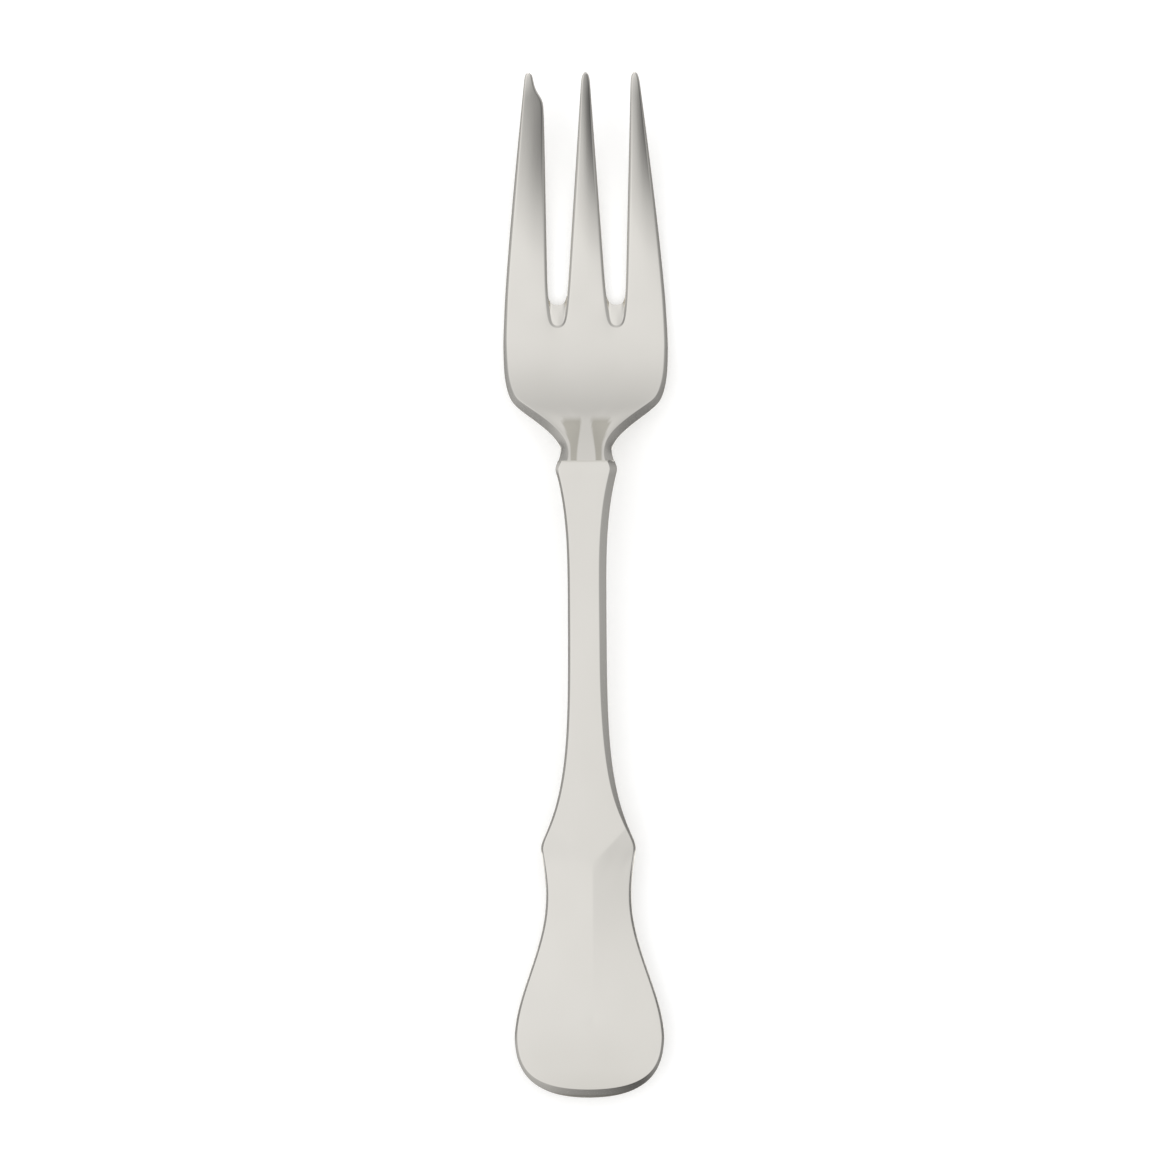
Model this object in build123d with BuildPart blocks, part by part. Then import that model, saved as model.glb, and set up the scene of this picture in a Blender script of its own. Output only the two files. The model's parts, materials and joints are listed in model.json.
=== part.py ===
"""Three-tined pastry fork with a wide cutting tine and a hollow, faceted handle.

The fork lies on its back as on a table: +Y runs from the handle's end to the tine tips, +X is to the
right of someone who looks down on it, and +Z is up. The origin is under the middle of the fork, on the
table. All sizes are in millimetres.

A struck head ends in a tang. The tang sits in cement inside a handle of two thin shells, which are
soldered to each other along the sides and to the neck of the head.
"""

import os

from build123d import *

# Lengths along the fork
handle_length = 93.3
head_length = 56.7
bulb_setback = 8.5
bulb_to_waist = 20.7
waist_to_hip = 7.8
shoulder_setback = 1.2
shoulder_flare_length = 16.4
rest_setback = 15.0
hip_edge_length = 1.3

# Widths of the handle
bulb_width = 22.0
waist_width = 12.3
hip_width = 14.3
shank_width = 5.7
shoulder_width = 9.2
joint_width = 8.3

# Powers of the curves that lead up to the hip, down from it, and up to the shoulder
hip_rise_power = 1.5
hip_fall_power = 5.0
shoulder_rise_power = 2.7

# Fullness of the handle's round end: 0.55 is an ellipse, and more is squarer
end_fullness = 0.64

# Side view of the handle: how far its back is lifted off the table, the share of its slope in which that
# slope begins, and how far its end wall leans in
end_lift = 2.6
joint_lift = 7.1
slope_start = 0.2
end_lean = 1.2

# Section of the handle: how far it stands out from its seam, and the width and drop of its bevels
end_half_depth = 1.3
bulb_half_depth = 2.0
waist_half_depth = 2.2
shank_half_depth = 2.1
bulb_bevel = 0.4
shank_bevel = 1.1
bulb_bevel_drop = 0.4
shank_bevel_drop = 0.8
ridge_rise = 0.5
face_crown = 0.04
shell_wall = 0.6

# Tang, which runs down the handle from the joint with cement all round it
tang_length = 38.0
cement_gap = 0.5

# Outline of the head, with its lengths measured from the joint
neck_width = 7.5
neck_to_joint = 1.3
flank_width = 13.4
flank_to_joint = 5.2
bowl_corner_width = 22.1
bowl_corner_to_joint = 8.9
bowl_width = 24.2
bowl_widest_to_joint = 16.6
taper_to_joint = 25.7

# Tines and the two slots between them
slot_root_to_joint = 22.7
slot_root_width = 2.75
slot_root_radius = 1.2
slot_root_fullness = 0.45
ramp_length = 3.3
ramp_width = 1.9
middle_tine_width = 5.85
middle_tine_offset = 0.2
tip_width = 1.15
outer_tip_spread = 7.95

# The cutting tine on the left, which is wide almost to its tip and ends in a small beak
cutting_tip_spread = 8.95
cutting_edge_spread = 6.1
beak_length = 4.1
beak_radius = 0.7
beak_hollow_length = 2.7
beak_hollow_width = 0.55
beak_hollow_radius = 3.0

# Side view of the head: where its straight neck ends, where its belly touches the table, and its thickness
bowl_to_joint = 6.7
bowl_lift = 4.7
bowl_fall_power = 1.9
belly_to_joint = 22.7
tip_lift = 10.2
neck_thickness = 3.0
belly_thickness = 2.2
tip_thickness = 1.3

# Rim of the head: the width and drop of the bevels along its front and back
neck_bevel = 1.2
belly_bevel = 0.7
tip_bevel = 0.3
neck_bevel_drop = 0.5
belly_bevel_drop = 0.45
tip_bevel_drop = 0.3

# How far the solids that cut run past what they cut
overcut = 5.0

# Sections that the head's sides are drawn through
bowl_sections = 14
tine_sections = 8

# Places along the fork
overall_length = handle_length + head_length
end_y = -overall_length / 2
tip_y = overall_length / 2
rest_y = end_y + rest_setback
bulb_y = end_y + bulb_setback
waist_y = bulb_y + bulb_to_waist
hip_y = waist_y + waist_to_hip
joint_y = end_y + handle_length
shoulder_y = joint_y - shoulder_setback
shank_y = shoulder_y - shoulder_flare_length
bowl_y = joint_y + bowl_to_joint
belly_y = joint_y + belly_to_joint
slot_root_y = joint_y + slot_root_to_joint
widest_y = joint_y + bowl_widest_to_joint
taper_y = joint_y + taper_to_joint


def smooth_step(share):
    """Eases from 0 to 1 with level ends."""
    return share * share * (3 - 2 * share)


def eased(places, y):
    """Value at y of a curve that eases from each (y, value) place to the next and is level beyond them."""
    for (y0, value0), (y1, value1) in zip(places, places[1:]):
        if y < y1:
            share = max(y - y0, 0) / (y1 - y0)
            return value0 + (value1 - value0) * smooth_step(share)
    return places[-1][1]


def handle_width(y):
    """Width of the handle. Its round end is cut later, so here the bulb runs straight past it."""
    if y <= waist_y:
        return eased([(bulb_y, bulb_width), (waist_y, waist_width)], y)
    if y <= hip_y:
        rise = ((y - waist_y) / waist_to_hip) ** hip_rise_power
        return waist_width + (hip_width - waist_width) * rise
    if y <= shank_y:
        fall = ((shank_y - y) / (shank_y - hip_y)) ** hip_fall_power
        return shank_width + (hip_width - shank_width) * fall
    if y <= shoulder_y:
        rise = ((y - shank_y) / shoulder_flare_length) ** shoulder_rise_power
        return shank_width + (shoulder_width - shank_width) * rise
    return shoulder_width + (joint_width - shoulder_width) * (y - shoulder_y) / shoulder_setback


def half_depth(y):
    """How far the handle stands out in front of its seam, and behind it."""
    places = [(end_y, end_half_depth), (bulb_y, bulb_half_depth)]
    places += [(waist_y, waist_half_depth), (shank_y, shank_half_depth)]
    return eased(places, y)


def back_height(y):
    """Height of the handle's back above the table, which it touches only at rest_y."""
    if y <= rest_y:
        return end_lift * ((rest_y - y) / rest_setback) ** 2
    share = (y - rest_y) / (joint_y - rest_y)
    start = min(share / slope_start, 1)
    rise = slope_start * (start**3 - start**4 / 2) + max(share - slope_start, 0)
    return joint_lift * rise / (1 - slope_start / 2)


def seam_height(y):
    """Height of the line where the two shells of the handle meet."""
    return back_height(y) + half_depth(y)


def ridge_height(y):
    """How far the middle of the handle's front stands above the edges of that face."""
    places = [(bulb_y, 0), (waist_y, ridge_rise), (hip_y, 0)]
    return face_crown + eased(places, y)


def handle_section(y, inset):
    """Corners (x, z) of the handle's section at y, drawn in by inset, from the front's middle round."""
    half_width = handle_width(y) / 2
    face = half_width - eased([(hip_y, bulb_bevel), (shank_y, shank_bevel)], y) - inset / 2
    drop = eased([(hip_y, bulb_bevel_drop), (shank_y, shank_bevel_drop)], y) - inset / 2
    depth = half_depth(y) - inset
    edge = depth - ridge_height(y)
    wall = half_width - inset
    right = [(face, edge), (wall, edge - drop), (wall, drop - depth), (face, -depth)]
    left = [(-x, z) for x, z in reversed(right)]
    return [(x, seam_height(y) + z) for x, z in [(0, depth), *right, *left]]


def section_places():
    """Where the handle's sections are taken, from past its end up to the joint."""
    places = [end_y - overcut, end_y, (end_y + bulb_y) / 2, bulb_y]
    places += [bulb_y + bulb_to_waist * share for share in (0.25, 0.5, 0.75, 1)]
    places += [(waist_y + hip_y) / 2, hip_y - hip_edge_length, hip_y, hip_y + hip_edge_length]
    places += [hip_y + (shank_y - hip_y) * share for share in (0.1, 0.2, 0.35, 0.6, 1)]
    places += [shank_y + shoulder_flare_length * share for share in (0.4, 0.7, 0.88, 1)]
    return [*places, joint_y]


def handle_form(inset, places, ruled=False):
    """Solid through the handle's sections at these places, drawn in by inset."""
    with BuildPart() as form:
        for y in places:
            with BuildSketch(Plane.XZ.offset(-y)):
                with BuildLine():
                    Polyline(*handle_section(y, inset), close=True)
                make_face()
        loft(ruled=ruled)
    return form.part


def handle_solid(inset):
    """The handle with its round, leaning end: inset 0 is its outside, and the wall gives the space inside."""
    half_width = bulb_width / 2 - inset
    end = end_y + inset
    reach = (bulb_y - end) * end_fullness
    with BuildPart() as solid:
        add(handle_form(inset, section_places()))
        with BuildSketch(Plane.XY.offset(back_height(end_y))):
            with BuildLine():
                right = Bezier(
                    (half_width, bulb_y),
                    (half_width, bulb_y - reach),
                    (half_width * end_fullness, end),
                    (0, end),
                )
                mirror(right, about=Plane.YZ)
                Polyline(right @ 0, (half_width, tip_y), (-half_width, tip_y), (-half_width, bulb_y))
            make_face()
        lean = Vector(0, end_lean, 2 * end_half_depth)
        extrude(amount=overall_length, dir=lean, both=True, mode=Mode.INTERSECT)
    return solid.part


def above_seam():
    """Everything over the seam of the handle."""
    seam = [(y, seam_height(y)) for y in section_places()]
    with BuildPart() as region:
        with BuildSketch(Plane.YZ):
            with BuildLine():
                Spline(*seam)
                Polyline(seam[-1], (joint_y, tip_y), (end_y - overcut, tip_y), seam[0])
            make_face()
        extrude(amount=bulb_width, both=True)
    return region.part


def head_sides():
    """Left and right sides of the head as (left x, right x, y), from the joint to the tips."""
    joint = Vector(joint_width / 2, joint_y)
    neck = Vector(neck_width / 2, joint_y + neck_to_joint)
    flank = Vector(flank_width / 2, joint_y + flank_to_joint)
    corner = Vector(bowl_corner_width / 2, joint_y + bowl_corner_to_joint)
    widest = Vector(bowl_width / 2, widest_y)
    with BuildLine():
        bowl_side = Spline(
            joint, neck, flank, corner, widest, tangents=[neck - joint, (0, 1)], tangent_scalars=[1, 1]
        )
    bowl_points = [bowl_side @ (i / bowl_sections) for i in range(bowl_sections)]
    sides = [(-point.X, point.X, point.Y) for point in bowl_points]
    for i in range(tine_sections + 1):
        t = i / tine_sections
        y = widest_y * (1 - t) ** 2 + 2 * taper_y * t * (1 - t) + tip_y * t * t
        left = widest.X + (cutting_tip_spread - widest.X) * t * t
        right = widest.X + (outer_tip_spread - widest.X) * t * t
        sides.append((-left, right, y))
    return sides


def head_back(y):
    """Height of the head's back above the table: a straight neck, then the belly, then the raised tines."""
    if y <= bowl_y:
        neck_back = seam_height(joint_y) - neck_thickness / 2
        return bowl_lift + (neck_back - bowl_lift) * (bowl_y - y) / bowl_to_joint
    if y <= belly_y:
        return bowl_lift * ((belly_y - y) / (belly_y - bowl_y)) ** bowl_fall_power
    return tip_lift * ((y - belly_y) / (tip_y - belly_y)) ** 2


def head_section(left, right, y):
    """Corners (x, z) of the head's section at y, before its slots are cut."""
    back = head_back(y)
    front = back + eased([(joint_y, neck_thickness), (belly_y, belly_thickness), (tip_y, tip_thickness)], y)
    bevel = eased([(joint_y, neck_bevel), (belly_y, belly_bevel), (tip_y, tip_bevel)], y)
    drop = eased([(joint_y, neck_bevel_drop), (belly_y, belly_bevel_drop), (tip_y, tip_bevel_drop)], y)
    low = back + drop
    high = front - drop
    right_side = [(right - bevel, front), (right, high), (right, low), (right - bevel, back)]
    left_side = [(left + bevel, back), (left, low), (left, high), (left + bevel, front)]
    return [*right_side, *left_side]


outside = handle_solid(0)
space = handle_solid(shell_wall)
front_region = above_seam()
tang_y = joint_y - tang_length
tang_places = [tang_y, *[y for y in section_places() if y > tang_y]]
tang = handle_form(shell_wall + cement_gap, tang_places, ruled=True)

with BuildPart() as handle_front_shell:
    add(outside)
    add(space, mode=Mode.SUBTRACT)
    add(front_region, mode=Mode.INTERSECT)
handle_front_shell.part.label = "handle_front_shell"

with BuildPart() as handle_back_shell:
    add(outside)
    add(space, mode=Mode.SUBTRACT)
    add(front_region, mode=Mode.SUBTRACT)
handle_back_shell.part.label = "handle_back_shell"

with BuildPart() as handle_filler:
    add(space)
    add(tang, mode=Mode.SUBTRACT)
handle_filler.part.label = "handle_filler"

with BuildPart() as fork_head:
    # Bowl and tines in one piece
    for left, right, y in head_sides():
        with BuildSketch(Plane.XZ.offset(-y)):
            with BuildLine():
                Polyline(*head_section(left, right, y), close=True)
            make_face()
    loft(ruled=True)

    # Slots between the tines, and the beak of the cutting tine
    middle_right = middle_tine_offset + middle_tine_width / 2
    middle_left = middle_tine_offset - middle_tine_width / 2
    middle_tip_right = middle_tine_offset + tip_width / 2
    middle_tip_left = middle_tine_offset - tip_width / 2
    right_tip_inner = outer_tip_spread - tip_width
    cutting_tip_inner = tip_width - cutting_tip_spread
    root_radius = min(slot_root_radius, slot_root_fullness * slot_root_width)
    past_y = tip_y + overcut
    with BuildSketch(Plane.XY.offset(-overcut)):
        with BuildLine():
            FilletPolyline(
                (middle_tip_right, past_y),
                (middle_tip_right, tip_y),
                (middle_right, slot_root_y),
                (middle_right + slot_root_width, slot_root_y),
                (right_tip_inner, tip_y),
                (right_tip_inner, past_y),
                radius=[0, root_radius, root_radius, 0, 0, 0],
                close=True,
            )
        make_face()
        with BuildLine():
            FilletPolyline(
                (middle_tip_left, past_y),
                (middle_tip_left, tip_y),
                (middle_left, slot_root_y),
                (middle_left - slot_root_width, slot_root_y),
                (-cutting_edge_spread, tip_y - beak_length),
                (cutting_tip_inner + beak_hollow_width, tip_y - beak_hollow_length),
                (cutting_tip_inner, tip_y),
                (cutting_tip_inner, past_y),
                radius=[0, root_radius, root_radius, beak_radius, beak_hollow_radius, 0, 0, 0],
                close=True,
            )
        make_face()
    extrude(amount=overall_length, mode=Mode.SUBTRACT)

    # Sloping front ends of the slots, cut up and back from their roots until they are clear of the front
    ramp = Vector(0, -ramp_length, belly_thickness)
    slot_middles = [middle_right + slot_root_width / 2, middle_left - slot_root_width / 2]
    ramp_slot_length = 3 * ramp_length
    with BuildSketch(Plane.XY):
        with Locations(*[(x, slot_root_y + ramp_slot_length / 2) for x in slot_middles]):
            SlotOverall(ramp_slot_length, ramp_width, rotation=90)
    extrude(amount=2 * ramp.length, dir=ramp, mode=Mode.SUBTRACT)

    add(tang)
fork_head.part.label = "fork_head"

os.makedirs("parts", exist_ok=True)
export_step(fork_head.part, "parts/fork_head.step")
export_step(handle_front_shell.part, "parts/handle_front_shell.step")
export_step(handle_back_shell.part, "parts/handle_back_shell.step")
export_step(handle_filler.part, "parts/handle_filler.step")
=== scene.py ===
# %% [markdown]
# # A pastry fork in polished silver
#
# The fork lies on its back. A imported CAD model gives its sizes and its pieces: a head with three tines,
# two thin shells that make the hollow handle, and the cement inside them. Each piece that shows is
# modelled again here with smooth surfaces, because polished metal shows every small fault.

# %% Load the CAD model
import json
import math

import bmesh
import bpy
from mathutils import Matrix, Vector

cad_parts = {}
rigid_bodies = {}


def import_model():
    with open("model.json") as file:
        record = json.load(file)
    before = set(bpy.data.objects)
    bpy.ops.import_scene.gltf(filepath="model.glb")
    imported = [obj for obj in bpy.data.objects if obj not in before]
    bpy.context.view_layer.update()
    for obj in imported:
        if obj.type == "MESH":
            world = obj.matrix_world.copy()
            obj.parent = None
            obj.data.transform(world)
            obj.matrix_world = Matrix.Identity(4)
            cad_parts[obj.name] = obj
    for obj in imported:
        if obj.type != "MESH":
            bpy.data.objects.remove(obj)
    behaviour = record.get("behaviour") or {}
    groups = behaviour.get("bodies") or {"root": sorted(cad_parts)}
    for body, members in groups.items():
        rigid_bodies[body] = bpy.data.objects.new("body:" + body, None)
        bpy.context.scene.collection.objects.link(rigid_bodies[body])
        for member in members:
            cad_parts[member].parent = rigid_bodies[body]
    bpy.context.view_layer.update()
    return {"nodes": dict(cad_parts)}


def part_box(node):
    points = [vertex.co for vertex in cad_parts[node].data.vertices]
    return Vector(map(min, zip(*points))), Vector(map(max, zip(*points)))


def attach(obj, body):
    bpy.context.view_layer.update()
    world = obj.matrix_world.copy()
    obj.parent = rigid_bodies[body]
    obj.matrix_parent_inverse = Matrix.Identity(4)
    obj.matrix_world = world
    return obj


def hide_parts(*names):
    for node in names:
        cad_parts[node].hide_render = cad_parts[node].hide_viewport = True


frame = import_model()
print("CAD nodes:", sorted(frame["nodes"]))

# %% [markdown]
# The photograph was taken from straight above with a long lens, so the camera looks down from far away
# and the fork stands upright in the picture, turned by a fraction of a degree, as the real fork lay. The
# camera could be orthographic too, but a long lens keeps a little perspective, as in the photograph.

# %% Camera
mm = 0.001
picture_height = 171.6 * mm
lens = 500
sensor = 36
camera_turn = math.radians(0.32)
camera_x = -0.28 * mm
camera_y = 0.12 * mm
camera_height = picture_height * lens / sensor

camera_data = bpy.data.cameras.new("camera")
camera_data.lens = lens
camera_data.sensor_width = sensor
camera = bpy.data.objects.new("camera", camera_data)
camera.location = (camera_x, camera_y, camera_height)
camera.rotation_euler = (0, 0, -camera_turn)
bpy.context.scene.collection.objects.link(camera)
bpy.context.scene.camera = camera
bpy.context.scene.view_settings.view_transform = "Standard"
print("camera height in mm:", round(camera_height / mm))

# %% [markdown]
# The main places along the fork come from the boxes of the CAD nodes, so the new pieces always fit the
# model. Only the shapes between those places are given here, in millimetres.

# %% Places along the fork
head_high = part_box("fork_head")[1]
shell_low, shell_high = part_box("handle_back_shell")
end_y = shell_low.y / mm
joint_y = shell_high.y / mm
tip_y = head_high.y / mm
bulb_y = end_y + 8.5
rest_y = end_y + 15.0
waist_y = bulb_y + 20.7
hip_y = waist_y + 7.8
shoulder_y = joint_y - 1.2
shank_y = shoulder_y - 16.4
belly_y = joint_y + 22.7
print("end, joint and tips at y:", round(end_y, 1), round(joint_y, 1), round(tip_y, 1))


# %% [markdown]
# Cutlery is drawn with flowing curves. Small helpers draw them: one eases from level to level, and one
# runs a smooth curve through a few measured points. Blender's own curve objects could draw the same
# lines, but a formula can be asked for its value anywhere along the fork.

# %% Curves through a few places
def between(first, last, share):
    return first + (last - first) * share


def smooth_step(share):
    return share * share * (3 - 2 * share)


def eased(places, y):
    for (y0, value0), (y1, value1) in zip(places, places[1:]):
        if y < y1:
            return between(value0, value1, smooth_step(max(y - y0, 0) / (y1 - y0)))
    return places[-1][1]


def through(points, y):
    last = len(points) - 2
    i = max(k for k in range(last + 1) if k == 0 or points[k][0] <= y)

    def slope(k):
        before = points[max(k - 1, 0)]
        after = points[min(k + 1, last + 1)]
        return (after[1] - before[1]) / (after[0] - before[0])

    y0, value0 = points[i]
    y1, value1 = points[i + 1]
    step = y1 - y0
    t = (y - y0) / step
    rise = value1 - value0
    curve = slope(i) * step * t * (1 - t) ** 2 - slope(i + 1) * step * t * t * (1 - t)
    return value0 + rise * smooth_step(t) + curve


print("eased half way from 0 to 1:", eased([(0, 0), (1, 1)], 0.5))


# %% [markdown]
# Every piece starts as a flat grid, like a sheet of metal. The helpers below pick points of the grid in
# edit mode and move them with the move tool, as a modeller does by hand.

# %% Helpers for work in edit mode
grid_size = 1 * mm


def start_grid(name, columns, rows):
    bpy.ops.object.select_all(action="DESELECT")
    bpy.ops.mesh.primitive_grid_add(x_subdivisions=columns - 1, y_subdivisions=rows - 1, size=grid_size)
    piece = bpy.context.object
    piece.name = name
    piece.data.name = name
    bpy.ops.object.mode_set(mode="EDIT")
    bpy.ops.mesh.select_mode(type="VERT")
    return piece


def pick(piece, wanted):
    mesh = bmesh.from_edit_mesh(piece.data)
    mesh.verts.ensure_lookup_table()
    bpy.ops.mesh.select_all(action="DESELECT")
    for i in wanted:
        mesh.verts[i].select = True
    mesh.select_flush_mode()
    return mesh


def move_point(piece, i, place):
    mesh = pick(piece, [i])
    now = mesh.verts[i].co
    shift = [place[axis] * mm - now[axis] for axis in range(3)]
    bpy.ops.transform.translate(value=shift)


def pick_edges(piece, is_wanted):
    mesh = bmesh.from_edit_mesh(piece.data)
    bpy.ops.mesh.select_mode(type="EDGE")
    bpy.ops.mesh.select_all(action="DESELECT")
    for edge in mesh.edges:
        if is_wanted(*[vert.index for vert in edge.verts]):
            edge.select = True
    mesh.select_flush_mode()


print("size of a new grid in mm:", grid_size / mm)


# %% [markdown]
# The handle is slim in the shank, has a small hip, narrows to a waist, swells to a bulb and ends in a
# round. Its outline could be traced over the photograph as one curve. Here it is a few powers between the
# widest and narrowest places, which gives clean lines without wobbles.

# %% Width of the handle
bulb_width = 22.0
waist_width = 12.3
hip_width = 14.3
shank_width = 5.7
shoulder_width = 9.2
joint_width = 8.3
hip_power = 1.5
shank_power = 5
shoulder_power = 2.7


def handle_half_width(y):
    if y <= waist_y:
        return eased([(bulb_y, bulb_width), (waist_y, waist_width)], y) / 2
    if y <= hip_y:
        flare = ((y - waist_y) / (hip_y - waist_y)) ** hip_power
        return between(waist_width, hip_width, flare) / 2
    if y <= shank_y:
        flare = ((shank_y - y) / (shank_y - hip_y)) ** shank_power
        return between(shank_width, hip_width, flare) / 2
    if y <= shoulder_y:
        flare = ((y - shank_y) / (shoulder_y - shank_y)) ** shoulder_power
        return between(shank_width, shoulder_width, flare) / 2
    return between(shoulder_width, joint_width, (y - shoulder_y) / (joint_y - shoulder_y)) / 2


print("width at the waist:", round(2 * handle_half_width(waist_y), 2))


# %% [markdown]
# From the side, the handle rests on the table under its bulb, rises evenly towards the neck, and its end
# turns up a little. The two shells meet at a seam half way up. The seam follows the same curve as in the
# CAD model, so that the new shells lie where the old ones were.

# %% Side view of the handle
slope_start = 0.2
end_rise = 2.6
neck_rise = 7.1
depth_places = [(end_y, 1.3), (bulb_y, 2.0), (waist_y, 2.2), (shank_y, 2.1)]


def half_depth(y):
    return eased(depth_places, y)


def seam_height(y):
    if y <= rest_y:
        return end_rise * ((rest_y - y) / (rest_y - end_y)) ** 2 + half_depth(y)
    share = (y - rest_y) / (joint_y - rest_y)
    start = min(share / slope_start, 1)
    rise = slope_start * (start**3 - start**4 / 2) + max(share - slope_start, 0)
    return neck_rise * rise / (1 - slope_start / 2) + half_depth(y)


print("seam height at the end and the joint:", [round(seam_height(y), 2) for y in (end_y, joint_y)])


# %% [markdown]
# The front has facets. The shank's flat front ends in a V at the hip, and below it two very flat facets
# meet in a ridge that fades out in the bulb. A bevel runs all along the edge. It is wide at the shank and
# narrow round the bulb.

# %% Facets of the handle
v_row = (-40.4, -35.5)
roof_slopes = [(bulb_y + 2, 0), (waist_y, 0.035)]


def roof_drop(x, y):
    slope = eased(roof_slopes, y)
    v_half_width = max(y - v_row[0], 0) / (v_row[1] - v_row[0]) * hip_width / 2
    return slope * max(abs(x) - v_half_width, 0)


def bevel_width(y):
    return eased([(hip_y, 0.4), (shank_y, 1.1)], y)


def bevel_drop(y):
    return eased([(hip_y, 0.37), (shank_y, 0.8)], y)


print("bevel at the shank and at the bulb:", bevel_width(shank_y), bevel_width(bulb_y))

# %% [markdown]
# A face of the handle is half a grid, mirrored later. Each row of the grid crosses the handle. Most rows
# are straight, but where the shank's flat front ends in the V, the rows are bent with it, and at the end
# of the bulb they are bent round with the outline. Each bent row has the place of its middle and of its
# side. Bending the rows, rather than cutting them off, keeps the surface smooth right up to its edge.

# %% Rows and columns of the handle
straight_rows = [joint_y, joint_y - 0.45, shoulder_y, 16.2, 14.2, 11.5, 7.5, 3, -2, -8, -14, -19.5, -24.2]
bent_rows = [(-28.5, -28), (-32.3, -31), (-36.3, -33.4), v_row, (-42.7, -38), (-45.2, -39.4)]
bent_rows += [(-47.8, -41.6), (-50.8, -45), (-54, -49), (-57.3, -53), (-60.7, -56.6)]
round_rows = [(-63.7, -59.4), (-66.3, -61.4), (-68.6, -63), (-70.7, -64.3), (-72.4, -65.4)]
round_rows += [(-73.8, -66.5)]
handle_rows = [(y, y) for y in straight_rows] + bent_rows + round_rows
even_columns = [0, 0.2, 0.4, 0.58, 0.74, 0.88, 1]
first_bent = len(straight_rows)
last_row = len(handle_rows) - 1
columns = len(even_columns)
print("rows and columns of a face:", len(handle_rows), "x", columns)


# %% [markdown]
# The end of the bulb is one curve with two handles, like a curve in a drawing program: the fuller its
# handles, the squarer the end. The last rows blend from straight ones into this curve.

# %% Round end of the handle
end_turns = [1, 0.84, 0.68, 0.51, 0.34, 0.16, 0]
end_fullness = 0.67
end_hug = 1.0
first_round = first_bent + 4


def roundness(row):
    return smooth_step(min(max((row - first_round) / (last_row - first_round), 0), 1))


def end_curve(column):
    turn = end_turns[column]
    rest = 1 - turn
    across = rest**3 + 3 * rest**2 * turn + 3 * rest * turn**2 * end_fullness
    back = 3 * rest**2 * turn * end_fullness + 3 * rest * turn**2 + turn**3
    return across, 1 - back


def row_place(row, column):
    middle, side = handle_rows[row]
    share = roundness(row)
    round_across, round_bend = end_curve(column)
    across = even_columns[column] * (1 - share) + round_across * share
    bend = across * (1 - share) + round_bend * share
    hug = end_hug * bend * (1 - bend) if row == last_row else 0
    return across, between(middle, side, bend) - hug


print("a quarter of the way round the end:", [round(v, 2) for v in row_place(last_row, 4)])


# %% [markdown]
# A shell is folded like a tray. First its face is laid out. Then the side and end edges of the face are
# extruded out and down for the bevel, and once more for the side wall, which ends at the seam. Only the
# front has the facets, and near its end it dips a little.

# %% Lay out a face and extrude its rim
joint_rounding = 0.3
dip_depth = 0.3
dip_start = -67
dip_length = 6.8
place_digits = 7


def face_height(x, y, side):
    rounding = joint_rounding * max((y - shoulder_y) / (joint_y - shoulder_y), 0) ** 2
    height = seam_height(y) + side * (half_depth(y) - rounding)
    end_dip = dip_depth * max((dip_start - y) / dip_length, 0) ** 2
    return height - roof_drop(x, y) - end_dip if side > 0 else height


def lay_face(piece, side):
    for row in range(last_row + 1):
        edge_y = handle_rows[row][1]
        for column in range(columns):
            across, y = row_place(row, column)
            x = across * (handle_half_width(edge_y) - bevel_width(edge_y))
            move_point(piece, row * columns + column, (x, y, face_height(x, y, side)))


def place_of(vert):
    return tuple(round(v, place_digits) for v in vert.co)


def extrude_rim(piece, rim):
    pick_edges(piece, lambda a, b: a in rim and b in rim and abs(rim.index(a) - rim.index(b)) == 1)
    bpy.ops.mesh.extrude_edges_move()
    bpy.ops.mesh.select_mode(type="VERT")
    mesh = bmesh.from_edit_mesh(piece.data)
    mesh.verts.index_update()
    mesh.verts.ensure_lookup_table()
    old = {place_of(mesh.verts[i]): i for i in rim}
    new = {old[place_of(vert)]: vert.index for vert in mesh.verts if vert.select}
    return [new[i] for i in rim]


print("front of the bulb in mm:", round(face_height(0, bulb_y, 1), 2))


# %% [markdown]
# The two extruded rings are moved to the outline, one at the foot of the bevel and one at the seam. At
# the end of the bulb the bevel is deeper, because the end is cut at a slant that shows from above. The
# points of each ring also get a number, which stays with them when the half is mirrored later.

# %% Fold both shells
shell_sides = {"handle_front": 1, "handle_back": -1}
rim_ring = 1
wall_ring = 2
seam_ring = 3
end_reach = 0.06
end_from = 0.12
side_drop = 0.33
front_slant = 0.67
back_slant = 0.2
seam_dip = 0.75


def fold_rim(piece, side):
    side_rim = [row * columns + columns - 1 for row in range(last_row)]
    end_rim = [last_row * columns + column for column in reversed(range(columns))]
    rim = side_rim + end_rim
    wall = extrude_rim(piece, rim)
    seam = extrude_rim(piece, wall)
    for k, i in enumerate(rim):
        row, column = divmod(i, columns)
        edge_y = handle_rows[row][1]
        across, y = row_place(row, column)
        x = across * handle_half_width(edge_y)
        face_z = face_height(x, y, side)
        drop = bevel_drop(edge_y)
        endwards = 0
        if row == last_row:
            endwards = smooth_step(max(end_turns[column] - end_from, 0) / (1 - end_from))
            y = end_y + (bulb_y - end_y) * end_curve(column)[1] - end_reach * endwards
            drop = side_drop + front_slant * endwards if side > 0 else drop + back_slant * endwards
        move_point(piece, wall[k], (x, y, face_z - side * drop))
        move_point(piece, seam[k], (x, y, seam_height(y) - seam_dip * endwards))
    return rim, wall, seam


shell_pieces = {}
for shell_name, shell_side in shell_sides.items():
    piece = start_grid(shell_name, columns, last_row + 1)
    lay_face(piece, shell_side)
    rim, wall, seam = fold_rim(piece, shell_side)
    bpy.ops.object.mode_set(mode="OBJECT")
    ring = piece.data.attributes.new("ring", "INT", "POINT")
    for number, points in ((rim_ring, rim), (wall_ring, wall), (seam_ring, seam)):
        for i in points:
            ring.data[i].value = number
    shell_pieces[shell_name] = (piece, rim, wall)
    print(shell_name, "has", len(piece.data.polygons), "faces in its half")


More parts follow.
